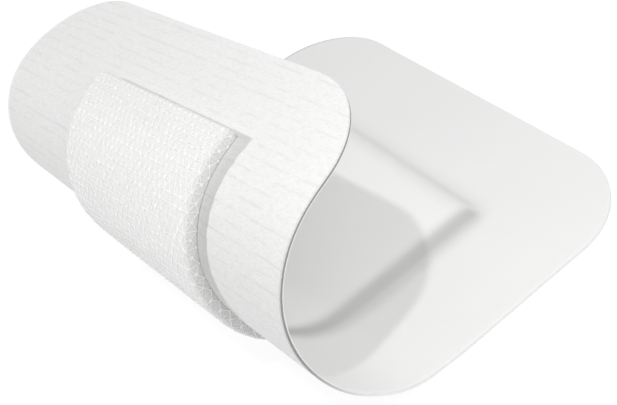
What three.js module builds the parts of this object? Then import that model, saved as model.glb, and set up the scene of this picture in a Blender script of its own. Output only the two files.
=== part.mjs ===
// An adhesive island dressing that lies on its skin side with one end curled up and back over itself.
// Its flat end lies towards +Y, the curl stands at -Y, and X runs across the sheet.
// A place on the sheet is given by three lengths: along it from the flat end, across it from
// its centre line, and the depth under the bare film face, towards the skin side.

import * as THREE from 'three';
import { mergeVertices } from 'three/addons/utils/BufferGeometryUtils.js';

// Driving dimensions, in millimetres
const sheet_length = 80;
const sheet_width = 60;
const corner_radius = 10.6;
const film_thickness = 0.1;
const nonwoven_thickness = 0.25;
const pad_length = 54.5;
const pad_width = 26;
const pad_thickness = 1.1;
const net_thickness = 0.2;

// Where the pad sits: its distance from the flat end, and its shift towards +X
const pad_end_margin = 15.3;
const pad_side_shift = 2.6;

// The border comes down from the pad to what the dressing lies on over this width,
// and gives that up from lift_lead before the curl on, over lift_length
const slope_width = 2;
const lift_lead = 5.4;
const lift_length = 14;
const curl_dip = 0.15;

// The curl: how much of the centre line lies flat, the skew of the bend across the sheet,
// the distance from the centre line to the tip of the cone that it is rolled on,
// and the bend radius at equal steps along it, after which it runs out straight
const flat_length = 35.7;
const curl_skew_degrees = 6.3;
const cone_reach = 300;
const bend_step = 7.4;
const bend_radii = [6.8, 12.9, 16.7, 10.1, 9.9];

// Facet sizes of the model
const flat_facet = 5;
const curl_facet = 1.8;
const corner_facets = 6;
const walk_step = 0.1;

// Sizes that follow
const sheet_thickness = film_thickness + nonwoven_thickness;
const stack_thickness = pad_thickness + net_thickness;
const rest_height = sheet_thickness + stack_thickness;
const pad_start = pad_end_margin;
const pad_end = pad_start + pad_length;
const pad_left = pad_side_shift - pad_width / 2;
const pad_right = pad_side_shift + pad_width / 2;
const skew = THREE.MathUtils.degToRad(curl_skew_degrees);

function smoothShare(value) {
  return THREE.MathUtils.smoothstep(value, 0, 1);
}

// Bend per millimetre at a distance into the curl, between the given radii and then none
function bendAt(distance) {
  const steps = distance / bend_step;
  const index = Math.floor(steps);
  const bends = [index, index + 1].map((step) => (step < bend_radii.length ? 1 / bend_radii[step] : 0));
  return THREE.MathUtils.lerp(bends[0], bends[1], steps - index);
}

// The curl's profile as a walk of short steps: how far it has run, risen and turned
function walkCurl() {
  const walk = [{ run: 0, rise: 0, turn: 0 }];
  while (walk.length * walk_step < 2 * sheet_length) {
    const last = walk[walk.length - 1];
    const turned = bendAt((walk.length - 0.5) * walk_step) * walk_step;
    const heading = last.turn + turned / 2;
    walk.push({
      run: last.run + Math.cos(heading) * walk_step,
      rise: last.rise + Math.sin(heading) * walk_step,
      turn: last.turn + turned,
    });
  }
  return walk;
}

const curl_walk = walkCurl();

function curlAt(distance) {
  const steps = distance / walk_step;
  const index = Math.floor(steps);
  const share = steps - index;
  const from = curl_walk[index];
  const to = curl_walk[index + 1];
  return {
    run: THREE.MathUtils.lerp(from.run, to.run, share),
    rise: THREE.MathUtils.lerp(from.rise, to.rise, share),
    turn: THREE.MathUtils.lerp(from.turn, to.turn, share),
  };
}

// How far a place lies into the curl, and its distance to the side along the curl's axis
function curlPlace(along, across) {
  const past = along - flat_length;
  return {
    ahead: past * Math.cos(skew) + across * Math.sin(skew),
    aside: across * Math.cos(skew) - past * Math.sin(skew),
  };
}

// A point of the bent sheet in space
function bentPoint(along, across, depth) {
  const { ahead, aside } = curlPlace(along, across);
  const growth = 1 + aside / cone_reach;
  const curl = ahead > 0 ? curlAt(ahead / growth) : { run: ahead / growth, rise: 0, turn: 0 };
  const run = growth * curl.run + depth * Math.sin(curl.turn);
  const rise = growth * curl.rise - depth * Math.cos(curl.turn);
  return new THREE.Vector3(
    run * Math.sin(skew) + aside * Math.cos(skew),
    aside * Math.sin(skew) - run * Math.cos(skew),
    rise + rest_height,
  );
}

// How much deeper the border lies than the sheet over the pad
function borderDip(along, across) {
  const beside = Math.max(pad_left - net_thickness - across, across - pad_right - net_thickness, 0);
  const beyond = Math.max(pad_start - net_thickness - along, along - pad_end - net_thickness, 0);
  const out = smoothShare(Math.hypot(beside, beyond) / slope_width);
  const lifted = smoothShare((curlPlace(along, across).ahead + lift_lead) / lift_length);
  return out * THREE.MathUtils.lerp(stack_thickness, curl_dip, lifted);
}

// Half the sheet's width at a distance along it, less in the rounded corners
function halfWidthAt(along) {
  const into = Math.max(corner_radius - Math.min(along, sheet_length - along), 0);
  return sheet_width / 2 - corner_radius + Math.sqrt(corner_radius ** 2 - into ** 2);
}

function evenly(from, to, facet) {
  const count = Math.max(Math.ceil((to - from) / facet), 1);
  return Array.from({ length: count + 1 }, (_, index) => from + ((to - from) * index) / count);
}

// Lines across the sheet, the same ones for every layer so that the layers meet in them
function alongLines() {
  const edges = [
    pad_start - net_thickness - slope_width,
    pad_start - net_thickness - slope_width / 2,
    pad_start - net_thickness,
    pad_start,
    pad_end,
    pad_end + net_thickness,
    pad_end + net_thickness + slope_width / 2,
    pad_end + net_thickness + slope_width,
  ];
  const corner = Array.from({ length: corner_facets + 1 }, (_, index) => {
    return corner_radius * (1 - Math.cos((index / corner_facets) * (Math.PI / 2)));
  });
  const curl_start = flat_length - lift_lead;
  const wanted = [
    ...corner,
    ...evenly(corner_radius, curl_start, flat_facet),
    ...evenly(curl_start, sheet_length - corner_radius, curl_facet),
    ...corner.map((place) => sheet_length - place),
  ];
  const clear = (line) => edges.every((edge) => Math.abs(edge - line) > slope_width / 4);
  const lines = [...edges, ...wanted.filter(clear)].sort((a, b) => a - b);
  return lines.filter((line, index) => index === 0 || line - lines[index - 1] > 0.001);
}

// Lines along the sheet at one distance along it
function acrossLines(along) {
  const half_width = halfWidthAt(along);
  const slope_left = pad_left - net_thickness - slope_width;
  const slope_right = pad_right + net_thickness + slope_width;
  const left_facets = Math.ceil((sheet_width / 2 + slope_left) / flat_facet);
  const right_facets = Math.ceil((sheet_width / 2 - slope_right) / flat_facet);
  const share = (from, to, count) => Array.from({ length: count }, (_, i) => from + ((to - from) * i) / count);
  return [
    ...share(-half_width, slope_left, left_facets),
    ...share(slope_left, pad_left - net_thickness, 2),
    pad_left - net_thickness,
    ...evenly(pad_left, pad_right, flat_facet + 1),
    pad_right + net_thickness,
    ...share(pad_right + net_thickness, slope_right, 2).slice(1),
    ...share(slope_right, half_width, right_facets),
    half_width,
  ];
}

// A closed solid between two grids with as many rows and columns, the film side's first
function solidBetween(upper, lower) {
  const corners = [];
  const quad = (a, b, c, d) => corners.push(a, b, c, a, c, d);
  const last_row = upper.length - 1;
  const last_column = upper[0].length - 1;
  for (let row = 0; row < last_row; row += 1) {
    for (let column = 0; column < last_column; column += 1) {
      const next = column + 1;
      quad(upper[row][column], upper[row + 1][column], upper[row + 1][next], upper[row][next]);
      const under = [lower[row][column], lower[row + 1][column], lower[row + 1][next], lower[row][next]];
      corners.push(under[0], under[2], under[1], under[0], under[3], under[2]);
    }
    quad(upper[row][0], lower[row][0], lower[row + 1][0], upper[row + 1][0]);
    quad(upper[row + 1][last_column], lower[row + 1][last_column], lower[row][last_column],
      upper[row][last_column]);
  }
  for (let column = 0; column < last_column; column += 1) {
    const next = column + 1;
    quad(upper[0][next], lower[0][next], lower[0][column], upper[0][column]);
    quad(upper[last_row][column], lower[last_row][column], lower[last_row][next], upper[last_row][next]);
  }
  const loose = new THREE.BufferGeometry().setFromPoints(corners);
  const merged = mergeVertices(loose, 0.0001);
  const index = Array.from(merged.index.array);
  const kept = [];
  for (let start = 0; start < index.length; start += 3) {
    const [a, b, c] = index.slice(start, start + 3);
    if (a !== b && b !== c && c !== a) {
      kept.push(a, b, c);
    }
  }
  merged.setIndex(kept);
  merged.computeVertexNormals();
  return merged;
}

const lines = alongLines();

// One layer of the whole sheet, from one depth to another under the film face
function sheetLayer(from_depth, to_depth) {
  const grid = (depth) => lines.map((along) => acrossLines(along).map((across) => {
    return bentPoint(along, across, depth + borderDip(along, across));
  }));
  return solidBetween(grid(from_depth), grid(to_depth));
}

const pad_lines = lines.filter((along) => along > pad_start - 0.001 && along < pad_end + 0.001);
const pad_columns = evenly(pad_left, pad_right, flat_facet + 1);

function padSolid() {
  const grid = (depth) => pad_lines.map((along) => pad_columns.map((across) => {
    return bentPoint(along, across, depth);
  }));
  return solidBetween(grid(sheet_thickness), grid(sheet_thickness + pad_thickness));
}

// The net covers the pad's face and folds up its four sides to the sheet. On the inside its
// first two and last two lines are the rim; the ones between lie on the pad.
function netSolid() {
  const rows = [pad_start - net_thickness, pad_start, ...pad_lines, pad_end, pad_end + net_thickness];
  const columns = [pad_left - net_thickness, pad_left, ...pad_columns, pad_right, pad_right + net_thickness];
  const isRim = (list, index) => index < 2 || index > list.length - 3;
  const inside = rows.map((along, row) => columns.map((across, column) => {
    const rim = isRim(rows, row) || isRim(columns, column);
    return bentPoint(along, across, rim ? sheet_thickness : sheet_thickness + pad_thickness);
  }));
  const outside = rows.map((along) => columns.map((across) => bentPoint(along, across, rest_height)));
  return solidBetween(inside, outside);
}

const film_material = new THREE.MeshStandardMaterial({ color: 0xf1f1f0, roughness: 0.42, metalness: 0 });
const nonwoven_material = new THREE.MeshStandardMaterial({ color: 0xf4f4f3, roughness: 0.9, metalness: 0 });
const pad_material = new THREE.MeshStandardMaterial({ color: 0xf7f7f6, roughness: 0.95, metalness: 0 });
const net_material = new THREE.MeshStandardMaterial({ color: 0xffffff, roughness: 0.5, metalness: 0 });

function namedMesh(name, geometry, material) {
  const mesh = new THREE.Mesh(geometry, material);
  mesh.name = name;
  return mesh;
}

const group = new THREE.Group();
group.add(
  namedMesh('backing_film', sheetLayer(0, film_thickness), film_material),
  namedMesh('adhesive_nonwoven', sheetLayer(film_thickness, sheet_thickness), nonwoven_material),
  namedMesh('absorbent_pad', padSolid(), pad_material),
  namedMesh('wound_net', netSolid(), net_material),
);

// The origin is under the middle of the dressing, on what it lies on
const middle = new THREE.Box3().setFromObject(group).getCenter(new THREE.Vector3());
group.position.set(-middle.x, -middle.y, 0);

export default group;
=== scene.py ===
"""An adhesive island dressing that lies on its skin side, one end curled up and back over itself.

A place on the sheet is given by its distance along from the flat end, its distance across from
the centre line, and its depth under the bare film face, towards the skin side. One function
bends such places into space, so every layer follows the same curl.
"""

import math

import bpy
import numpy as np
from bpy.props import FloatProperty, FloatVectorProperty, IntProperty, PointerProperty
from mathutils import Matrix, Vector


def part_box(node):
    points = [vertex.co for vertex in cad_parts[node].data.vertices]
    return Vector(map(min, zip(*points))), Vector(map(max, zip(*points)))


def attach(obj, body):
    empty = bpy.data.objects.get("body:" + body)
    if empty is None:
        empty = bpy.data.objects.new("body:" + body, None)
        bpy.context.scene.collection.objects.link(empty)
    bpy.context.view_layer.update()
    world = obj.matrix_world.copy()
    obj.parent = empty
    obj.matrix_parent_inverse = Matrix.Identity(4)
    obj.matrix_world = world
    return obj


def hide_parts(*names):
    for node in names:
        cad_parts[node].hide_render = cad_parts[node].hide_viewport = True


bl_info = {
    "name": "Island Dressing",
    "version": (1, 0, 0),
    "blender": (4, 5, 0),
    "location": "3D View > Sidebar > Dressing",
    "description": "An adhesive dressing with a netted pad, curled back over itself",
    "category": "Object",
}

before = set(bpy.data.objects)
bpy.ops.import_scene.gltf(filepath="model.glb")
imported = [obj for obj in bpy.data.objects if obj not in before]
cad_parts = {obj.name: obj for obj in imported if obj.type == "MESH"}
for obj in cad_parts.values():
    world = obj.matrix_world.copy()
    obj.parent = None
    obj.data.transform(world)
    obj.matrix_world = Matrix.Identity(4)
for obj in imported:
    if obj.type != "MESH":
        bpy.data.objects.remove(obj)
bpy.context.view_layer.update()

# The sheet's UV map is in centimetres
UV_PER_METRE = 100.0
# Steps in which the curl's bend is added up
WALK_STEPS = 3200
# Facet of the sheet that is only made to find its middle
COARSE_FACET = 0.001
# Fewest facets along any stretch of the sheet
FEWEST_FACETS = 4
# The sheet's soft waves: turns per metre along it and across it, and where each starts
WAVES = ((17.0, 41.0, 0.4), (29.0, -23.0, 1.9), (-11.0, 67.0, 4.1))
# Painted shade on the cut edge starts at this share of the lift length into the curl
EDGE_SHADE_START = 0.4
# Lines that round the pad's edge
EDGE_LINES = 7
# How far a joint may lie past the foot of the net's sides, as a share of the pitch
NET_SPARE = 0.45
# Stretches of a strand from joint to joint, and the points across it
STRETCHES = 4
ACROSS_STRAND = 3
# Least and most of a strand's width or a joint's radius, as shares of the given one
UNEVEN = (0.75, 1.25)
# Sockets of the Mix node: its two colours and its mixed colour
MIX_COLOURS = (6, 7)
MIX_RESULT = 2


def length(name, description, default):
    """A size in metres, as a property."""
    return FloatProperty(
        name=name, description=description, default=default, min=0.0, unit="LENGTH", precision=5
    )


def colour(name, description, default):
    """A colour, as a property."""
    limits = {"min": 0.0, "max": 1.0, "size": 3, "subtype": "COLOR"}
    return FloatVectorProperty(name=name, description=description, default=default, **limits)


def angle(name, description, degrees):
    """An angle, as a property."""
    turn = math.radians(degrees)
    return FloatProperty(
        name=name, description=description, default=turn, subtype="ANGLE", unit="ROTATION"
    )


def number(name, description, default):
    """A strength or a share, as a property."""
    return FloatProperty(name=name, description=description, default=default, min=0.0)


def position(name, description, default):
    """A point in space, as a property."""
    return FloatVectorProperty(
        name=name, description=description, default=default, size=3, unit="LENGTH"
    )


def direction(name, description, default):
    """A direction, as a property."""
    return FloatVectorProperty(
        name=name, description=description, default=default, size=3, subtype="DIRECTION"
    )


class DressingSizes(bpy.types.PropertyGroup):
    """The sizes of the dressing and of the curl that it lies in"""

    sheet_length: length("Sheet length", "Length of the flat sheet", 0.080)
    sheet_width: length("Sheet width", "Width of the flat sheet", 0.060)
    corner_radius: length("Corner radius", "Radius of the sheet's four corners", 0.0106)
    film_thickness: length("Film thickness", "Thickness of the backing film", 0.0001)
    nonwoven_thickness: length("Nonwoven thickness", "Thickness of the adhesive nonwoven", 0.00025)
    pad_length: length("Pad length", "Length of the absorbent pad", 0.0545)
    pad_width: length("Pad width", "Width of the absorbent pad", 0.026)
    pad_thickness: length("Pad thickness", "Thickness of the pad without its net", 0.0011)
    net_thickness: length("Net thickness", "Height of the net over the pad", 0.0002)
    pad_end_margin: length("Pad end margin", "From the flat end of the sheet to the pad", 0.0153)
    pad_side_shift: length("Pad side shift", "How far the pad sits towards +X", 0.0026)
    pad_edge_radius: length("Pad edge radius", "Rounding of the pad's edge under the net", 0.00022)
    pad_loft: length("Pad loft", "How much fuller the pad is in the curl", 0.00045)
    loft_lead: length("Loft lead", "How far into the curl the pad starts to fill out", 0.002)
    loft_length: length("Loft length", "Length over which it fills out", 0.012)
    slope_width: length("Slope width", "Over which the border comes down beside the pad", 0.002)
    # The grey band off the pad's edge: partly the film bridging an air gap, partly painted shade
    # on the slope
    bridge_shade_out: length("Bridge out", "From the pad's edge to the middle of the grey band", 0.001)
    bridge_shade_side: length("Bridge at side", "Half the band's width beside the pad", 0.00108)
    bridge_shade_end: length("Bridge at end", "Half the band's width at the pad's ends", 0.00152)
    bridge_shade_end_share: number("Bridge end share", "How much of the band is left there", 0.33)
    lift_lead: length("Lift lead", "How far before the curl the border starts to lift", 0.0054)
    lift_length: length("Lift length", "Length over which the border lifts", 0.014)
    curl_dip: length("Curl dip", "Depth of the border under the pad's sheet in the curl", 0.00015)
    flat_length: length("Flat length", "Length of the centre line that lies flat", 0.0357)
    curl_skew: angle("Curl skew", "How far the bend's axis is turned from the sheet's width", 6.3)
    cone_reach: length("Cone reach", "From the centre line to the tip of the rolled cone", 0.300)
    bend_step: length("Bend step", "Distance between the bend radii along the curl", 0.0074)
    bend_radii: FloatVectorProperty(
        name="Bend radii",
        description="Bend radius at equal steps along the curl, which then runs out straight",
        default=(0.0068, 0.0129, 0.0167, 0.0101, 0.0099),
        size=5,
        min=0.001,
        unit="LENGTH",
    )
    sheet_facet: length("Sheet facet", "Size of the sheet's mesh faces", 0.0004)
    waviness: length("Waviness", "Height of the soft waves in the lying sheet", 0.00006)


class NetSizes(bpy.types.PropertyGroup):
    """The sizes of the net's strands and joints"""

    pitch: length("Pitch", "Distance between the net's joints", 0.00100)
    strand_width: length("Strand width", "Width of a strand where it lies on the pad", 0.00016)
    strand_height: length("Strand height", "Height of a strand near a joint", 0.000045)
    strand_sag: length("Strand sag", "How much lower a strand is half way", 0.000012)
    joint_foot: length("Joint foot", "Radius of a joint where it lies on the pad", 0.00021)
    joint_crest: length("Joint crest", "Radius of a joint's flat top", 0.00013)
    joint_height: length("Joint height", "Height of a joint", 0.00007)
    wander: length("Wander", "How far a joint sits from its even place", 0.00003)
    joint_sides: IntProperty(
        name="Joint sides", description="Sides of a joint, an even number", default=6, min=4
    )
    seed: IntProperty(name="Seed", description="Seed of the net's unevenness", default=11)


class DressingFinish(bpy.types.PropertyGroup):
    """The colours and the dashed rows of the dressing's materials"""

    film: colour("Film", "The bare film over the border", (0.82, 0.82, 0.815))
    film_on_pad: colour("Film on pad", "The film over the white pad", (0.87, 0.87, 0.865))
    # Painted shade, partly the real grey of the film over an air gap, off the pad's edge
    film_bridge_shade: colour("Film bridge", "The film off the pad's edge", (0.44, 0.44, 0.437))
    film_cloud: colour("Film cloud", "The film's paler clouds", (0.90, 0.90, 0.895))
    nonwoven: colour("Nonwoven", "The fibrous skin side", (0.93, 0.93, 0.925))
    clump: colour("Clump", "The nonwoven where its fibres clump", (0.87, 0.87, 0.865))
    fibre: colour("Fibre", "The shade between its fibres", (0.74, 0.74, 0.735))
    nonwoven_dash: colour("Nonwoven dash", "The faint dashed lines on it", (0.78, 0.78, 0.775))
    # Painted shade: a dark contact line where the pad meets the sheet
    crease_shade: colour("Crease", "The thin crease where the pad meets the sheet", (0.35, 0.35, 0.347))
    cut_edge: colour("Cut edge", "The cut edge of the flat end", (0.90, 0.90, 0.895))
    # Painted shade on the cut edge of the curled end, which faces away from the lamps
    curl_edge_shade: colour("Worn edge", "The cut edge of the handled, curled end", (0.24, 0.24, 0.238))
    pad: colour("Pad", "The absorbent wadding", (0.87, 0.87, 0.865))
    # Painted shade: a darker copy of the pad's colour for its sides
    pad_side_shade: colour("Pad side", "The wadding's cut side", (0.78, 0.78, 0.775))
    net: colour("Net", "The net's strands and joints", (0.97, 0.97, 0.965))
    net_shade: colour("Net shade", "The net's greyer places", (0.90, 0.90, 0.895))
    row_pitch: length("Row pitch", "Distance between the rows of dashes", 0.0013)


class StageSettings(bpy.types.PropertyGroup):
    """The camera, the lamps and the floor"""

    look_at: position("Look at", "Point in mid view", (0.002042, -0.002371, 0.003011))
    distance: length("Distance", "From the camera to that point", 0.136873)
    azimuth: angle("Azimuth", "Where the camera stands, from -Y towards +X", 70.85)
    elevation: angle("Elevation", "How high the camera stands", 41.37)
    roll: angle("Roll", "How far the camera is rolled", -24.87)
    lens: number("Lens", "Focal length in mm", 65.48)
    sensor: number("Sensor", "Width of the camera's sensor in mm", 36.0)
    nearest: length("Nearest", "Nearest distance that the camera sees", 0.001)
    floor_size: length("Floor size", "Side of the pale floor", 3.0)
    floor_drop: length("Floor drop", "How far the floor lies under the dressing", 0.00002)
    floor_paper: colour("Floor paper", "The pale floor", (0.85, 0.85, 0.85))
    floor_glow: number("Floor glow", "Strength of the floor's white to the camera", 1.07)
    floor_share: number("Floor share", "How much of that white the camera sees", 0.85)
    ambient: number("Ambient", "Strength of the even light", 0.36)
    sky: number("Sky", "Strength of the very broad lamp", 0.83)
    sky_from: direction("Sky from", "Towards the very broad lamp", (0.55, 0.45, 0.70))
    sky_width: angle("Sky width", "Angle that the very broad lamp fills", 180.0)
    key: number("Key", "Strength of the high lamp", 0.67)
    key_from: direction("Key from", "Towards the high lamp", (0.167, -0.171, 0.971))
    side: number("Side", "Strength of the side lamp", 1.54)
    side_from: direction("Side from", "Towards the side lamp", (-0.82, -0.42, 0.39))
    lamp_width: angle("Lamp width", "Angle that the high and the side lamp fill", 2.5)
    low: number("Low", "Strength of the broad low lamp", 0.80)
    low_from: direction("Low from", "Towards the low lamp", (-0.10, -0.98, 0.05))
    low_width: angle("Low lamp width", "Angle that the broad low lamp fills", 60.0)
    front: number("Front", "Power of the soft front lamp in watts", 0.028)
    front_size: length("Front size", "Side of the soft front lamp", 0.07)
    front_place: position("Front place", "Where the soft front lamp is", (0.075, 0.012, 0.075))


def smooth_share(value):
    """0 below 0, 1 above 1, and three squares less two cubes between."""
    held = np.clip(value, 0.0, 1.0)
    return held * held * (3.0 - 2.0 * held)


def running_sum(values, step):
    """The integral of evenly spaced values from the first one on, by the trapezium rule."""
    return np.concatenate([[0.0], np.cumsum((values[1:] + values[:-1]) * 0.5 * step)])


class BentSheet:
    """Bends places on the flat sheet into space.

    The curl's bend, one over its radius, goes evenly from each given radius to the next and then
    to none. Its integral is the turn, and the integrals of the turn's cosine and sine are how far
    the curl has run and risen. Beside the centre line all of it grows with the distance from the
    cone's tip. Depth is measured square to the bent surface.
    """

    def __init__(self, sizes):
        self.sizes = sizes
        self.sheet_thickness = sizes.film_thickness + sizes.nonwoven_thickness
        self.stack = sizes.pad_thickness + sizes.net_thickness
        self.rest_height = self.sheet_thickness + self.stack
        self.pad_middle = (sizes.pad_end_margin + sizes.pad_length / 2, sizes.pad_side_shift)
        bends = [1.0 / radius for radius in sizes.bend_radii] + [0.0, 0.0]
        knots = np.arange(len(bends)) * sizes.bend_step
        self.walk = np.linspace(0.0, 2.0 * sizes.sheet_length, WALK_STEPS + 1)
        step = self.walk[1]
        self.turn = running_sum(np.interp(self.walk, knots, bends), step)
        self.run = running_sum(np.cos(self.turn), step)
        self.rise = running_sum(np.sin(self.turn), step)
        self.shift = np.zeros(3)
        film = self.layer(sizes.film_thickness, COARSE_FACET)
        low, high = (np.array(corner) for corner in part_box("backing_film"))
        middle = (film.min(axis=(0, 1)) + film.max(axis=(0, 1))) / 2
        self.shift = ((low + high) / 2 - middle) * (1.0, 1.0, 0.0)

    def curl_place(self, along, across):
        """How far a place is into the curl, and to the side along the curl's axis."""
        past = along - self.sizes.flat_length
        cosine, sine = math.cos(self.sizes.curl_skew), math.sin(self.sizes.curl_skew)
        return past * cosine + across * sine, across * cosine - past * sine

    def point(self, along, across, depth):
        """Points in space for places on the sheet, with x, y and z in the last axis."""
        ahead, aside = self.curl_place(along, across)
        growth = 1.0 + aside / self.sizes.cone_reach
        distance = np.maximum(ahead / growth, 0.0)
        turn = np.interp(distance, self.walk, self.turn)
        run = growth * np.interp(distance, self.walk, self.run) + np.minimum(ahead, 0.0)
        rise = growth * np.interp(distance, self.walk, self.rise)
        run = run + depth * np.sin(turn)
        rise = rise - depth * np.cos(turn)
        cosine, sine = math.cos(self.sizes.curl_skew), math.sin(self.sizes.curl_skew)
        x = run * sine + aside * cosine
        y = aside * sine - run * cosine
        return np.stack(np.broadcast_arrays(x, y, rise + self.rest_height), axis=-1) + self.shift

    def off_pad(self, along, across):
        """0 over the pad and its net, 1 beyond the slope beside it."""
        sizes = self.sizes
        half_length, half_width = sizes.pad_length / 2, sizes.pad_width / 2
        beyond = np.abs(along - self.pad_middle[0]) - half_length - sizes.net_thickness
        beside = np.abs(across - self.pad_middle[1]) - half_width - sizes.net_thickness
        away = np.hypot(np.maximum(beyond, 0.0), np.maximum(beside, 0.0))
        return smooth_share(away / sizes.slope_width)

    def bridge_shade(self, along, across):
        """How freely the film bridges off the pad, and how much painted shade lies on the slope
        there: a bell curve of the distance from its edge.

        The curve is wider and fainter at the pad's ends than beside it, so the painted shade is
        darkest beside the pad.
        """
        sizes = self.sizes
        beyond = np.abs(along - self.pad_middle[0]) - sizes.pad_length / 2
        beside = np.abs(across - self.pad_middle[1]) - sizes.pad_width / 2
        at_side = smooth_share((beside - beyond) / sizes.slope_width + 0.5)
        outside = np.hypot(np.maximum(beyond, 0.0), np.maximum(beside, 0.0))
        inside = np.minimum(np.maximum(beyond, beside), 0.0)
        width = sizes.bridge_shade_end + (sizes.bridge_shade_side - sizes.bridge_shade_end) * at_side
        bell = np.exp(-(((outside + inside - sizes.bridge_shade_out) / width) ** 2))
        return bell * (sizes.bridge_shade_end_share + (1.0 - sizes.bridge_shade_end_share) * at_side)

    def dip(self, along, across):
        """How much deeper the border lies than the sheet over the pad: less so in the curl."""
        sizes = self.sizes
        ahead = self.curl_place(along, across)[0]
        lifted = smooth_share((ahead + sizes.lift_lead) / sizes.lift_length)
        return self.off_pad(along, across) * (self.stack + (sizes.curl_dip - self.stack) * lifted)

    def loft(self, along, across):
        """How much fuller the pad is than in the flat: its share grows smoothly into the curl."""
        sizes = self.sizes
        ahead = self.curl_place(along, across)[0]
        risen = smooth_share((ahead - sizes.loft_lead) / sizes.loft_length)
        return 1.0 + risen * sizes.pad_loft / sizes.pad_thickness

    def waves(self, along, across):
        """Soft waves that lift the sheet: a sum of long slanted sines, from 0 to the waviness."""
        total = sum(
            np.sin(2 * np.pi * (along * lengthwise + across * crosswise) + start)
            for lengthwise, crosswise, start in WAVES
        )
        return self.sizes.waviness * (total / (2 * len(WAVES)) + 0.5)

    def half_width(self, along):
        """Half the sheet's width, less by the corner's circle near the two ends."""
        sizes = self.sizes
        into = np.maximum(sizes.corner_radius - np.minimum(along, sizes.sheet_length - along), 0.0)
        corner = np.sqrt(np.maximum(sizes.corner_radius**2 - into**2, 0.0))
        return sizes.sheet_width / 2 - sizes.corner_radius + corner

    def grid(self, facet):
        """Places on a grid over the whole sheet, with closer lines in the round corners."""
        far, radius = self.sizes.sheet_length, self.sizes.corner_radius
        corner_steps = max(int(radius * math.pi / 2 / facet), FEWEST_FACETS)
        quarter = np.linspace(0.0, math.pi / 2, corner_steps + 1)
        corner = radius * (1.0 - np.cos(quarter))
        steps = max(int((far - 2 * radius) / facet), FEWEST_FACETS)
        middle = np.linspace(radius, far - radius, steps + 1)
        along = np.concatenate([corner[:-1], middle, (far - corner)[-2::-1]])
        steps_across = max(int(self.sizes.sheet_width / facet), FEWEST_FACETS)
        shares = np.linspace(-1.0, 1.0, steps_across + 1)
        across = self.half_width(along)[:, None] * shares
        return np.broadcast_to(along[:, None], across.shape), across

    def layer(self, depth, facet):
        """A grid of points at one depth under the film face."""
        along, across = self.grid(facet)
        lowered = self.dip(along, across) - self.waves(along, across)
        return self.point(along, across, depth + lowered)


def add_piece(name, points, faces, flats, uv=None):
    """A mesh object at the origin from an array of points and one of faces, some of them flat."""
    mesh = bpy.data.meshes.new(name)
    sides = faces.shape[1]
    mesh.vertices.add(len(points))
    mesh.vertices.foreach_set("co", np.ascontiguousarray(points, dtype=np.float32).ravel())
    mesh.loops.add(faces.size)
    mesh.loops.foreach_set("vertex_index", faces.astype(np.int32).ravel())
    mesh.polygons.add(len(faces))
    mesh.polygons.foreach_set("loop_start", np.arange(len(faces), dtype=np.int32) * sides)
    if uv is not None:
        layer = mesh.uv_layers.new(name="Cloth")
        layer.data.foreach_set("uv", uv[faces.ravel()].astype(np.float32).ravel())
    mesh.update(calc_edges=True)
    smooth = np.ones(len(faces), dtype=bool)
    smooth[flats] = False
    mesh.polygons.foreach_set("use_smooth", smooth)
    if mesh.validate():
        raise RuntimeError(f"{name} has faces that aren't sound")
    piece = bpy.data.objects.new(name, mesh)
    bpy.context.scene.collection.objects.link(piece)
    return piece


def shell_faces(rows, columns):
    """Faces of a closed shell between two grids, and where the rim's faces are in that list.

    The first grid's quads look out of it, the second's are turned round, and the rim joins the
    two grids' outlines.
    """
    index = np.arange(rows * columns).reshape(rows, columns)
    quads = np.stack([index[:-1, :-1], index[1:, :-1], index[1:, 1:], index[:-1, 1:]], axis=-1)
    quads = quads.reshape(-1, 4)
    loop = np.concatenate([index[0, :-1], index[:-1, -1], index[-1, :0:-1], index[:0:-1, 0]])
    after = np.roll(loop, -1)
    rim = np.stack([loop, after, after + index.size, loop + index.size], axis=-1)
    faces = np.concatenate([quads, quads[:, ::-1] + index.size, rim])
    return faces, slice(2 * len(quads), None)


def add_share(shell, name, share):
    """A value on each point of a closed shell, the same on both sides, for its material."""
    values = np.concatenate([share.ravel(), share.ravel()]).astype(np.float32)
    shell.data.attributes.new(name, "FLOAT", "POINT").data.foreach_set("value", values)


def add_finish(shell, rim):
    """Gives the rim of a closed shell the second of its materials."""
    slots = np.zeros(len(shell.data.polygons), dtype=np.int32)
    slots[rim] = 1
    shell.data.polygons.foreach_set("material_index", slots)


def add_shell(name, upper, lower, places):
    """A closed piece between two grids of points, with the flat sheet as its UV map.

    Gives the piece and where its rim's faces are.
    """
    faces, rim = shell_faces(*upper.shape[:2])
    points = np.concatenate([upper.reshape(-1, 3), lower.reshape(-1, 3)])
    along, across = places
    flat = np.stack([across.ravel(), along.ravel()], axis=-1) * UV_PER_METRE
    return add_piece(name, points, faces, rim, np.concatenate([flat, flat])), rim


def add_layer(name, sheet, upper_depth, lower_depth):
    """A closed layer of the whole sheet between two depths.

    Gives the piece, where its rim's faces are, and the grid's places on the sheet.
    """
    facet = sheet.sizes.sheet_facet
    places = sheet.grid(facet)
    upper, lower = (sheet.layer(depth, facet) for depth in (upper_depth, lower_depth))
    return *add_shell(name, upper, lower, places), places


class Value:
    """A shader socket that adds Math nodes when it is used in an expression."""

    def __init__(self, shader, socket):
        self.shader = shader
        self.socket = socket

    def __add__(self, other):
        return self.shader.maths("ADD", self, other)

    def __sub__(self, other):
        return self.shader.maths("SUBTRACT", self, other)

    def __rsub__(self, other):
        return self.shader.maths("SUBTRACT", other, self)

    def __mul__(self, other):
        return self.shader.maths("MULTIPLY", self, other)

    __radd__ = __add__
    __rmul__ = __mul__


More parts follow.
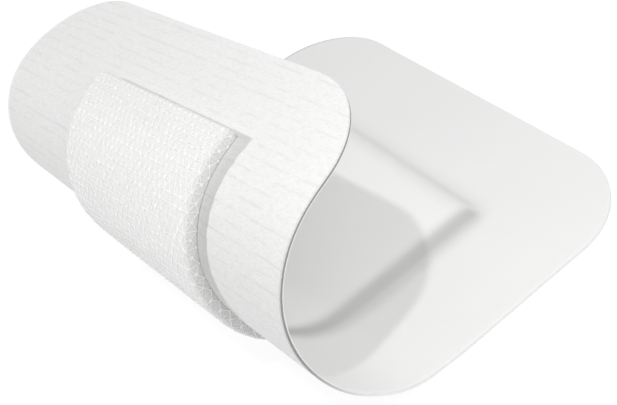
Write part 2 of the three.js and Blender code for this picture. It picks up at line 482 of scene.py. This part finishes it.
class Shader:
    """The nodes of a material or of the world."""

    def __init__(self, owner, output="ShaderNodeOutputMaterial"):
        self.owner = owner
        self.owner.use_nodes = True
        self.nodes = owner.node_tree.nodes
        self.links = owner.node_tree.links
        self.nodes.clear()
        self.output = self.nodes.new(output)

    def node(self, kind, settings=(), inputs=()):
        """A node of a type, with its settings first and then its sockets' values or links."""
        made = self.nodes.new(kind)
        for name, setting in dict(settings).items():
            setattr(made, name, setting)
        for name, given in dict(inputs).items():
            if isinstance(given, Value):
                self.links.new(given.socket, made.inputs[name])
            else:
                made.inputs[name].default_value = given
        return made

    def value(self, node, output=0):
        """One of a node's outputs, to use in an expression."""
        return Value(self, node.outputs[output])

    def maths(self, operation, first, second=0.0):
        """A Math node on one or two numbers, each a number or a link."""
        inputs = {0: first, 1: second}
        return self.value(self.node("ShaderNodeMath", {"operation": operation}, inputs))

    def scaled(self, vector, scale):
        """A vector with each of its parts times its own scale."""
        settings, inputs = {"operation": "MULTIPLY"}, {0: vector, 1: scale}
        return self.value(self.node("ShaderNodeVectorMath", settings, inputs))

    def cloth(self, across=1.0, along=1.0):
        """The flat sheet's coordinates in centimetres, each times a scale."""
        uv = self.value(self.node("ShaderNodeUVMap", {"uv_map": "Cloth"}))
        return self.scaled(uv, (across, along, 1.0))

    def solid(self, scale):
        """The piece's own coordinates times a scale per metre."""
        return self.scaled(self.value(self.node("ShaderNodeTexCoord"), "Object"), (scale,) * 3)

    def share(self, name):
        """One of the piece's own values."""
        return self.value(self.node("ShaderNodeAttribute", {"attribute_name": name}), "Fac")

    def parts(self, vector):
        """The first two parts of a vector."""
        split = self.node("ShaderNodeSeparateXYZ", (), {0: vector})
        return self.value(split, 0), self.value(split, 1)

    def pad_foot_shade(self, sizes):
        """1 in a thin line round the pad's foot, by the larger distance past its end or side:
        where painted shade goes.
        """
        across, along = self.parts(self.cloth())
        middle = UV_PER_METRE * (sizes.pad_end_margin + sizes.pad_length / 2)
        shift = UV_PER_METRE * sizes.pad_side_shift
        half_length = UV_PER_METRE * sizes.pad_length / 2
        half_width = UV_PER_METRE * sizes.pad_width / 2
        past_end = self.maths("ABSOLUTE", along - middle) - half_length
        past_side = self.maths("ABSOLUTE", across - shift) - half_width
        past = self.maths("MAXIMUM", past_end, past_side)
        return self.between(past, 0.0, 0.006) * (1.0 - self.between(past, 0.012, 0.020))

    def noise(self, vector, detail=3.0, roughness=0.55, distortion=0.0):
        """Noise from 0 to 1 with features as large as the vector's unit."""
        inputs = {
            "Vector": vector,
            "Scale": 1.0,
            "Detail": detail,
            "Roughness": roughness,
            "Distortion": distortion,
        }
        return self.value(self.node("ShaderNodeTexNoise", (), inputs))

    def between(self, value, low, high):
        """0 where the value is low or less, 1 where it is high or more, smooth between."""
        settings = {"interpolation_type": "SMOOTHSTEP"}
        inputs = {"Value": value, "From Min": low, "From Max": high}
        return self.value(self.node("ShaderNodeMapRange", settings, inputs))

    def mix(self, share, first, second):
        """A colour between two, each a colour or a link."""
        inputs = {0: share}
        for socket, given in zip(MIX_COLOURS, (first, second)):
            inputs[socket] = given if isinstance(given, Value) else (*given, 1.0)
        return self.value(self.node("ShaderNodeMix", {"data_type": "RGBA"}, inputs), MIX_RESULT)

    def bump(self, height, distance, strength):
        """The surface's normal, tilted by the slopes of a height."""
        inputs = {"Height": height, "Distance": distance, "Strength": strength}
        return self.value(self.node("ShaderNodeBump", (), inputs))

    def finished(self, surface):
        """The material or the world, with this node as its surface."""
        self.links.new(surface.outputs[0], self.output.inputs["Surface"])
        return self.owner

    def principled(self, inputs):
        """The material, with a surface from sockets' values or links by name."""
        return self.finished(self.node("ShaderNodeBsdfPrincipled", (), inputs))


def film_material(finish):
    """Smooth satin film: soft clouds, a fine grain, whiter over the pad, and grey off its edge,
    where the film bridges an air gap and painted shade darkens the slope.
    """
    shader = Shader(bpy.data.materials.new("backing_film"))
    cloud = shader.noise(shader.cloth(0.9, 0.9))
    grain = shader.noise(shader.cloth(60.0, 60.0), detail=2.0)
    base = shader.mix(shader.share("over_pad"), finish.film, finish.film_on_pad)
    # Painted shade off the pad's edge, partly the real grey of the film bridging an air gap
    bridge_shaded = shader.mix(shader.share("bridge_shade"), base, finish.film_bridge_shade)
    clouded = shader.mix(shader.between(cloud, 0.3, 0.8) * 0.15, bridge_shaded, finish.film_cloud)
    return shader.principled(
        {
            "Base Color": clouded,
            "Roughness": 0.36 + cloud * 0.12,
            "Normal": shader.bump(grain, distance=0.00001, strength=0.35),
        }
    )


def nonwoven_material(finish, sizes):
    """Matt fibres: two crossed sets of stretched noise, soft clumps, and rows of faint dashes.

    The rows are the fourth power of a wobbly cosine along the sheet, kept only where a noise
    stretched across the sheet is high. A thin dark line of painted shade runs round the pad's
    foot.
    """
    shader = Shader(bpy.data.materials.new("adhesive_nonwoven"))
    stretched = {"detail": 4.0, "roughness": 0.65, "distortion": 0.4}
    across_fibres = shader.noise(shader.cloth(16.0, 90.0), **stretched)
    along_fibres = shader.noise(shader.cloth(90.0, 26.0), **stretched)
    clumps = shader.noise(shader.cloth(11.0, 15.0))
    wobble = shader.noise(shader.cloth(6.0, 3.0), detail=2.0)
    along = shader.parts(shader.cloth())[1]
    turns = 2 * math.pi / (UV_PER_METRE * finish.row_pitch)
    row = shader.maths("COSINE", along * turns + wobble * 1.8)
    narrow = shader.maths("POWER", shader.maths("MAXIMUM", row, 0.0), 4.0)
    broken = shader.between(shader.noise(shader.cloth(2.4, 8.0), detail=2.0), 0.38, 0.62)
    dash = narrow * broken
    fibres = across_fibres * 0.6 + along_fibres * 0.4
    base = shader.mix(shader.between(clumps, 0.35, 0.75) * 0.5, finish.nonwoven, finish.clump)
    speckled = shader.mix(shader.between(fibres, 0.47, 0.66) * 0.7, base, finish.fibre)
    dashed = shader.mix(dash * 0.48, speckled, finish.nonwoven_dash)
    # Painted shade in a thin line round the pad's foot
    crease_shaded = shader.mix(shader.pad_foot_shade(sizes) * 0.7, dashed, finish.crease_shade)
    height = fibres + clumps * 0.4 - dash * 0.5
    return shader.principled(
        {
            "Base Color": crease_shaded,
            "Roughness": 0.88,
            "Specular IOR Level": 0.3,
            "Sheen Weight": 0.15,
            "Normal": shader.bump(height, distance=0.00006, strength=0.9),
        }
    )


def edge_material(finish):
    """The cut edge: pale at the flat end and dark with painted shade along the curl, mottled and
    bumped by fine layers.
    """
    shader = Shader(bpy.data.materials.new("cut_edge"))
    layers = shader.noise(shader.solid(6000.0))
    # Painted shade along the curl's cut edge, a little mottled by the layers
    edge_shade = shader.share("in_curl") * (0.85 + shader.between(layers, 0.35, 0.7) * 0.15)
    return shader.principled(
        {
            "Base Color": shader.mix(edge_shade, finish.cut_edge, finish.curl_edge_shade),
            "Roughness": 0.7,
            "Normal": shader.bump(layers, distance=0.00003, strength=0.6),
        }
    )


def pad_material(name, tint):
    """Soft wadding: fine matted fibres, a tenth darker between, over soft lumps."""
    shader = Shader(bpy.data.materials.new(name))
    lumps = shader.noise(shader.cloth(12.0, 12.0))
    fibres = shader.noise(shader.cloth(90.0, 55.0), detail=4.0, roughness=0.65, distortion=0.8)
    darker = tuple(0.9 * channel for channel in tint)
    return shader.principled(
        {
            "Base Color": shader.mix(shader.between(fibres, 0.5, 0.75) * 0.6, tint, darker),
            "Roughness": 0.95,
            "Specular IOR Level": 0.2,
            "Normal": shader.bump(fibres + lumps * 0.7, distance=0.00005, strength=0.6),
        }
    )


def net_material(finish):
    """Moulded net: clean white with a low gloss, a little uneven."""
    shader = Shader(bpy.data.materials.new("wound_net"))
    uneven = shader.noise(shader.solid(1500.0), detail=2.0)
    base = shader.mix(uneven * 0.3, finish.net, finish.net_shade)
    return shader.principled({"Base Color": base, "Roughness": 0.4 + uneven * 0.15})


def settings():
    """The scene's sizes, net, finish and stage."""
    scene = bpy.context.scene
    return scene.dressing_sizes, scene.dressing_net, scene.dressing_finish, scene.dressing_stage


def flat_area(sizes):
    """The area of the sheet as it was cut: a rectangle less what its round corners lack."""
    return sizes.sheet_length * sizes.sheet_width - (4.0 - math.pi) * sizes.corner_radius**2


def declare_sheet(piece, sizes):
    """Works out the area of the dressing's flat sheet, which is then dropped."""
    flat_area(sizes)


class DRESSING_OT_film(bpy.types.Operator):
    """Makes the backing film, the bare face of the dressing"""

    bl_idname = "dressing.film"
    bl_label = "Backing film"

    def execute(self, context):
        sizes, _, finish, _ = settings()
        sheet = BentSheet(sizes)
        film, _, places = add_layer("backing_film_sheet", sheet, 0.0, sizes.film_thickness)
        add_share(film, "over_pad", 1.0 - sheet.off_pad(*places))
        # Where the painted shade off the pad's edge goes, partly the real grey of the bridging
        # film
        add_share(film, "bridge_shade", sheet.bridge_shade(*places))
        film.data.materials.append(film_material(finish))
        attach(film, "root")
        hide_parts("backing_film")
        declare_sheet(film, sizes)
        light(film, "high_lamp")
        return {"FINISHED"}


class DRESSING_OT_nonwoven(bpy.types.Operator):
    """Makes the adhesive nonwoven, the fibrous skin side of the sheet, with its cut edge"""

    bl_idname = "dressing.nonwoven"
    bl_label = "Adhesive nonwoven"

    def execute(self, context):
        sizes, _, finish, _ = settings()
        sheet = BentSheet(sizes)
        nonwoven, rim, places = add_layer(
            "adhesive_nonwoven_sheet", sheet, sizes.film_thickness, sheet.sheet_thickness
        )
        nonwoven.data.materials.append(nonwoven_material(finish, sizes))
        nonwoven.data.materials.append(edge_material(finish))
        ahead = sheet.curl_place(*places)[0]
        # Where the painted shade on the cut edge goes: past a share of the lift length into the
        # curl
        add_share(nonwoven, "in_curl", smooth_share(ahead / sizes.lift_length - EDGE_SHADE_START))
        add_finish(nonwoven, rim)
        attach(nonwoven, "root")
        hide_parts("adhesive_nonwoven")
        declare_sheet(nonwoven, sizes)
        light(nonwoven, "side_lamp")
        return {"FINISHED"}


def edge_lines(half, radius, facet):
    """Lines from -half to half that lie close together in the round edges."""
    quarter = np.linspace(0.0, math.pi / 2, EDGE_LINES)
    edge = half - radius * (1.0 - np.sin(quarter))
    steps = max(int(2 * (half - radius) / facet), 2)
    middle = np.linspace(radius - half, half - radius, steps + 1)
    return np.concatenate([-edge[:0:-1], middle, edge[1:]])


class DRESSING_OT_pad(bpy.types.Operator):
    """Makes the absorbent pad, a soft slab whose outer edge is round under the net"""

    bl_idname = "dressing.pad"
    bl_label = "Absorbent pad"

    def execute(self, context):
        sizes, _, finish, _ = settings()
        sheet = BentSheet(sizes)
        radius = sizes.pad_edge_radius
        half_length, half_width = sizes.pad_length / 2, sizes.pad_width / 2
        lengthwise = edge_lines(half_length, radius, sizes.sheet_facet)
        crosswise = edge_lines(half_width, radius, sizes.sheet_facet)
        length_place, width_place = np.meshgrid(lengthwise, crosswise, indexing="ij")
        beyond = np.maximum(np.abs(length_place) - half_length + radius, 0.0)
        beside = np.maximum(np.abs(width_place) - half_width + radius, 0.0)
        round_off = np.minimum(np.hypot(beyond, beside) / radius, 1.0)
        rounded = radius * (1.0 - np.sqrt(1.0 - round_off**2))
        along = sheet.pad_middle[0] + length_place
        across = sheet.pad_middle[1] + width_place
        thickness = (sizes.pad_thickness - rounded) * sheet.loft(along, across)
        top = sheet.sheet_thickness - sheet.waves(along, across)
        upper = sheet.point(along, across, top)
        lower = sheet.point(along, across, top + thickness)
        pad, rim = add_shell("absorbent_pad_core", upper, lower, (along, across))
        pad.data.materials.append(pad_material("absorbent_pad", finish.pad))
        # The sides get a darker copy of the pad material, as painted shade
        pad.data.materials.append(pad_material("absorbent_pad_side_shade", finish.pad_side_shade))
        add_finish(pad, rim)
        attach(pad, "root")
        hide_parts("absorbent_pad")
        light(pad, "side_lamp", "low_lamp")
        return {"FINISHED"}


class FoldedNet:
    """Lays a flat net over the pad's face, round its edge and up its sides.

    A place in the net is measured from the pad's middle. Up to the round edge it stays where it
    is, over the edge it goes round a quarter circle, and past that straight up the side to the
    sheet. Height is measured square to the pad's surface.
    """

    def __init__(self, sheet):
        sizes = sheet.sizes
        self.sheet = sheet
        self.radius = sizes.pad_edge_radius
        self.halves = (sizes.pad_length / 2 - self.radius, sizes.pad_width / 2 - self.radius)
        self.side = sizes.pad_thickness - self.radius
        self.bend = self.radius * math.pi / 2
        self.over = self.bend + self.side

    def fold(self, place, half):
        """Where a net place comes to lie, how far down the side, and the surface's tilt there."""
        past = np.clip(np.abs(place) - half, 0.0, self.over)
        tilt = np.minimum(past / self.radius, math.pi / 2)
        out = np.minimum(np.abs(place), half) + self.radius * np.sin(tilt)
        down = self.radius * (1.0 - np.cos(tilt)) + np.maximum(past - self.bend, 0.0)
        return np.sign(place) * out, down, np.sign(place) * np.sin(tilt), np.cos(tilt)

    def point(self, lengthwise, crosswise, height):
        """Points in space for places in the net."""
        along, down_end, tilt_end, level_end = self.fold(lengthwise, self.halves[0])
        across, down_side, tilt_side, level_side = self.fold(crosswise, self.halves[1])
        level = level_end * level_side
        steep = np.sqrt(tilt_end**2 + tilt_side**2 + level**2)
        along = self.sheet.pad_middle[0] + along + height * tilt_end / steep
        across = self.sheet.pad_middle[1] + across + height * tilt_side / steep
        pad_thickness = self.radius + self.side
        left = pad_thickness - np.minimum(down_end + down_side, pad_thickness)
        pad_depth = left * self.sheet.loft(along, across)
        depth = self.sheet.sheet_thickness + pad_depth + height * level / steep
        return self.sheet.point(along, across, depth - self.sheet.waves(along, across))

    def within(self, lengthwise, crosswise, spare):
        """Which places are on the net: past the pad's edge only as far as its sides are high."""
        end = np.maximum(np.abs(lengthwise) - self.halves[0], 0.0)
        side = np.maximum(np.abs(crosswise) - self.halves[1], 0.0)
        return end + side < self.over + spare


def net_joints(net, folded):
    """The places of the net's joints, in rows of a lattice of even triangles, each a little off.

    Gives each joint's two places in an array by row and column, and which of them are on the net.
    """
    row_step = net.pitch * math.sqrt(3.0) / 2.0
    rows = int((folded.halves[0] + folded.over) / row_step) + 2
    columns = int((folded.halves[1] + folded.over) / net.pitch) + 2
    row, column = np.meshgrid(
        np.arange(-rows, rows + 1), np.arange(-columns, columns + 1), indexing="ij"
    )
    rng = np.random.default_rng(net.seed)
    drift = rng.normal(0.0, net.wander, (2, *row.shape))
    lengthwise = row * row_step + drift[0]
    crosswise = (column + 0.5 * (row % 2)) * net.pitch + drift[1]
    return lengthwise, crosswise, folded.within(lengthwise, crosswise, net.pitch * NET_SPARE)


def net_links(lengthwise, crosswise, present):
    """The ends of every strand: each joint to its neighbour in the row and to the two above it.

    An odd row is half a pitch ahead, so its joints' neighbours above are one column further on.
    """
    places = np.stack([lengthwise, crosswise], axis=-1)
    rows, columns = (np.arange(count) for count in present.shape)
    odd = (rows - len(rows) // 2) % 2 == 1
    links = [(np.ix_(rows, columns[:-1]), np.ix_(rows, columns[1:]))]
    for parity, steps in ((False, (-1, 0)), (True, (0, 1))):
        low = rows[:-1][odd[:-1] == parity]
        for step in steps:
            links.append((np.ix_(low, columns[1:-1]), np.ix_(low + 1, columns[1:-1] + step)))
    starts, ends = [], []
    for first, second in links:
        both = present[first] & present[second]
        starts.append(places[first][both])
        ends.append(places[second][both])
    return np.concatenate(starts), np.concatenate(ends)


def numbered(faces, points, count):
    """The faces of one small part repeated for each of them, with each part's own points."""
    return (faces + points * np.arange(count)[:, None, None]).reshape(-1, 3)


def strands(net, folded, starts, ends, rng):
    """Each strand is a low ridge that sags by a half sine between its two joints.

    Gives the strands' points, their faces and which faces are undersides or end caps.
    """
    count = len(starts)
    shares = np.linspace(0.0, 1.0, STRETCHES + 1)
    middle = starts[:, None] + (ends - starts)[:, None] * shares[:, None]
    run = (ends - starts) / np.linalg.norm(ends - starts, axis=1)[:, None]
    beside = np.stack([-run[:, 1], run[:, 0]], axis=-1)
    width = rng.uniform(*UNEVEN, (count, 1, 1)) * net.strand_width
    half = np.array([-0.5, 0.0, 0.5]) * width
    crest = net.strand_height - net.strand_sag * np.sin(np.pi * shares)
    height = crest[:, None] * np.array([0.0, 1.0, 0.0])
    place = middle[:, :, None] + beside[:, None, None] * half[..., None]
    points = folded.point(place[..., 0], place[..., 1], np.broadcast_to(height, place.shape[:3]))
    ring = np.arange(ACROSS_STRAND)
    after = np.roll(ring, -1)
    walls = np.stack([ring, ring + ACROSS_STRAND, after + ACROSS_STRAND, after], axis=-1)
    walls = np.concatenate([walls + ACROSS_STRAND * stretch for stretch in range(STRETCHES)])
    caps = [ring, ring[::-1] + ACROSS_STRAND * STRETCHES]
    faces = np.concatenate([walls[:, [0, 1, 2]], walls[:, [0, 2, 3]], caps])
    under = np.tile(ring == ring[-1], 2 * STRETCHES)
    flat = np.flatnonzero(np.concatenate([under, [True, True]]))
    flats = flat + len(faces) * np.arange(count)[:, None]
    faces = numbered(faces, ACROSS_STRAND * len(shares), count)
    return points.reshape(-1, 3), faces, flats.ravel()


def joints(net, folded, places, rng):
    """Each joint is a low cone with a flat top: two rings, joined, and closed at both ends.

    Gives the joints' points, their faces and which faces are undersides.
    """
    count, sides = len(places), net.joint_sides
    turn = 2 * math.pi * np.arange(sides) / sides
    circle = np.stack([np.cos(turn), np.sin(turn)], axis=-1)
    size = rng.uniform(*UNEVEN, (count, 1, 1))
    layers = []
    for radius, height in ((net.joint_foot, 0.0), (net.joint_crest, net.joint_height)):
        around = places[:, None] + circle * radius * size
        heights = np.full(around.shape[:2], height)
        layers.append(folded.point(around[..., 0], around[..., 1], heights))
    points = np.concatenate(layers, axis=1)
    ring = np.arange(sides)
    after = np.roll(ring, -1)
    walls = np.stack([after, after + sides, ring + sides, ring], axis=-1)
    walls = np.concatenate([walls[:, [0, 1, 2]], walls[:, [0, 2, 3]]])
    fan = np.stack([0 * ring[1:-1], ring[1:-1], ring[2:]], axis=-1)
    faces = np.concatenate([walls, fan + sides, fan[:, ::-1]])
    under = np.arange(len(faces) - len(fan), len(faces))
    flats = under + len(faces) * np.arange(count)[:, None]
    return points.reshape(-1, 3), numbered(faces, 2 * sides, count), flats.ravel()


class DRESSING_OT_net(bpy.types.Operator):
    """Makes the wound net: strands and joints in even triangles over the pad's face and sides"""

    bl_idname = "dressing.net"
    bl_label = "Wound net"

    def execute(self, context):
        sizes, net, finish, _ = settings()
        folded = FoldedNet(BentSheet(sizes))
        lengthwise, crosswise, present = net_joints(net, folded)
        starts, ends = net_links(lengthwise, crosswise, present)
        rng = np.random.default_rng(net.seed + 1)
        strand_points, strand_faces, strand_flats = strands(net, folded, starts, ends, rng)
        places = np.stack([lengthwise[present], crosswise[present]], axis=-1)
        joint_points, joint_faces, joint_flats = joints(net, folded, places, rng)
        points = np.concatenate([strand_points, joint_points])
        faces = np.concatenate([strand_faces, joint_faces + len(strand_points)])
        undersides = np.concatenate([strand_flats, joint_flats + len(strand_faces)])
        piece = add_piece("wound_net_strands", points, faces, undersides)
        piece.data.materials.append(net_material(finish))
        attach(piece, "root")
        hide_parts("wound_net")
        light(piece, "side_lamp", "low_lamp")
        return {"FINISHED"}


def camera_axes(stage):
    """The camera's right, up and back directions, from where it stands and how it is rolled."""
    cosine, sine = math.cos(stage.elevation), math.sin(stage.elevation)
    back = Vector((math.sin(stage.azimuth) * cosine, -math.cos(stage.azimuth) * cosine, sine))
    right = Vector((math.cos(stage.azimuth), math.sin(stage.azimuth), 0.0))
    up = back.cross(right)
    turned = right * math.cos(stage.roll) + up * math.sin(stage.roll)
    return turned, back.cross(turned), back


def add_camera(stage):
    """The camera, at a distance back from the point that it looks at."""
    camera = bpy.data.objects.new("Camera", bpy.data.cameras.new("Camera"))
    camera.data.lens = stage.lens
    camera.data.sensor_width = stage.sensor
    camera.data.clip_start = stage.nearest
    right, up, back = camera_axes(stage)
    place = Vector(stage.look_at) + back * stage.distance
    axes = Matrix((right, up, back)).transposed().to_4x4()
    camera.matrix_world = Matrix.Translation(place) @ axes
    bpy.context.scene.collection.objects.link(camera)
    bpy.context.scene.camera = camera


def lit_by(name):
    """The collection of what a lamp lights, made when it is first asked for."""
    return bpy.data.collections.get(name) or bpy.data.collections.new(name)


def light(piece, *lamps):
    """Puts a piece among what each of the lamps lights."""
    for name in lamps:
        lit_by(name).objects.link(piece)


def add_sun(name, towards, strength, width, receivers=None):
    """A lamp far away, for everything or for the pieces of one collection."""
    lamp = bpy.data.lights.new(name, "SUN")
    lamp.energy = strength
    lamp.angle = width
    sun = bpy.data.objects.new(name, lamp)
    sun.rotation_euler = Vector(towards).to_track_quat("Z", "Y").to_euler()
    sun.light_linking.receiver_collection = receivers
    bpy.context.scene.collection.objects.link(sun)


def add_front_lamp(stage):
    """A soft square lamp that faces the dressing from beside the camera."""
    lamp = bpy.data.lights.new("front_lamp", "AREA")
    lamp.energy = stage.front
    lamp.size = stage.front_size
    front = bpy.data.objects.new("front_lamp", lamp)
    front.location = stage.front_place
    front.rotation_euler = Vector(stage.front_place).to_track_quat("Z", "Y").to_euler()
    front.visible_camera = False
    bpy.context.scene.collection.objects.link(front)


def add_world(stage):
    """Even white light, and plain white to the camera and in a reflection or through glass."""
    shader = Shader(bpy.data.worlds.new("Studio"), "ShaderNodeOutputWorld")
    path = shader.node("ShaderNodeLightPath")
    camera, glossy, through = (
        shader.value(path, f"Is {kind} Ray") for kind in ("Camera", "Glossy", "Transmission")
    )
    seen = shader.maths("MAXIMUM", shader.maths("MAXIMUM", camera, glossy), through)
    strength = seen * (1.0 - stage.ambient) + stage.ambient
    inputs = {"Color": (1.0, 1.0, 1.0, 1.0), "Strength": strength}
    bpy.context.scene.world = shader.finished(shader.node("ShaderNodeBackground", (), inputs))


def floor_material(stage):
    """White paper that looks nearly pure white to the camera and keeps a soft shadow."""
    shader = Shader(bpy.data.materials.new("floor"))
    camera = shader.value(shader.node("ShaderNodeLightPath"), "Is Camera Ray")
    paper = shader.node("ShaderNodeBsdfDiffuse", (), {"Color": (*stage.floor_paper, 1.0)})
    glow = shader.node("ShaderNodeEmission", (), {"Strength": stage.floor_glow})
    inputs = {0: camera * stage.floor_share, 1: shader.value(paper), 2: shader.value(glow)}
    return shader.finished(shader.node("ShaderNodeMixShader", (), inputs))


def add_floor(stage):
    """A flat pale square just under the dressing."""
    half = stage.floor_size / 2
    corners = np.array([(-half, -half), (half, -half), (half, half), (-half, half)])
    points = np.column_stack([corners, np.full(len(corners), -stage.floor_drop)])
    floor = add_piece("floor", points, np.arange(len(corners))[None], slice(None))
    floor.data.materials.append(floor_material(stage))
    light(floor, "high_lamp")


class DRESSING_OT_stage(bpy.types.Operator):
    """Sets up the camera, the lamps, the even light and the pale floor"""

    bl_idname = "dressing.stage"
    bl_label = "Stage"

    def execute(self, context):
        _, _, _, stage = settings()
        add_camera(stage)
        add_sun("sky_lamp", stage.sky_from, stage.sky, stage.sky_width)
        add_sun("high_lamp", stage.key_from, stage.key, stage.lamp_width, lit_by("high_lamp"))
        add_sun("side_lamp", stage.side_from, stage.side, stage.lamp_width, lit_by("side_lamp"))
        add_sun("low_lamp", stage.low_from, stage.low, stage.low_width, lit_by("low_lamp"))
        add_front_lamp(stage)
        add_world(stage)
        add_floor(stage)
        context.scene.view_settings.view_transform = "Standard"
        return {"FINISHED"}


class DRESSING_PT_parts(bpy.types.Panel):
    """Lists the dressing's pieces and its main sizes"""

    bl_idname = "DRESSING_PT_parts"
    bl_label = "Island dressing"
    bl_space_type = "VIEW_3D"
    bl_region_type = "UI"
    bl_category = "Dressing"

    def draw(self, context):
        for operator in OPERATORS:
            self.layout.operator(operator.bl_idname)
        for name in ("sheet_length", "sheet_width", "pad_length", "pad_width", "flat_length"):
            self.layout.prop(context.scene.dressing_sizes, name)


OPERATORS = (
    DRESSING_OT_stage,
    DRESSING_OT_film,
    DRESSING_OT_nonwoven,
    DRESSING_OT_pad,
    DRESSING_OT_net,
)
GROUPS = {
    "dressing_sizes": DressingSizes,
    "dressing_net": NetSizes,
    "dressing_finish": DressingFinish,
    "dressing_stage": StageSettings,
}


def register():
    """Registers the classes, and gives the scene its settings."""
    for kind in (*GROUPS.values(), *OPERATORS, DRESSING_PT_parts):
        bpy.utils.register_class(kind)
    for name, kind in GROUPS.items():
        setattr(bpy.types.Scene, name, PointerProperty(type=kind))


def unregister():
    """Takes away all that register made."""
    for name in GROUPS:
        delattr(bpy.types.Scene, name)
    for kind in (DRESSING_PT_parts, *reversed(OPERATORS), *reversed(GROUPS.values())):
        bpy.utils.unregister_class(kind)


def main():
    """Makes the stage and every piece."""
    register()
    bpy.ops.dressing.stage()
    bpy.ops.dressing.film()
    bpy.ops.dressing.nonwoven()
    bpy.ops.dressing.pad()
    bpy.ops.dressing.net()


if __name__ == "__main__":
    main()
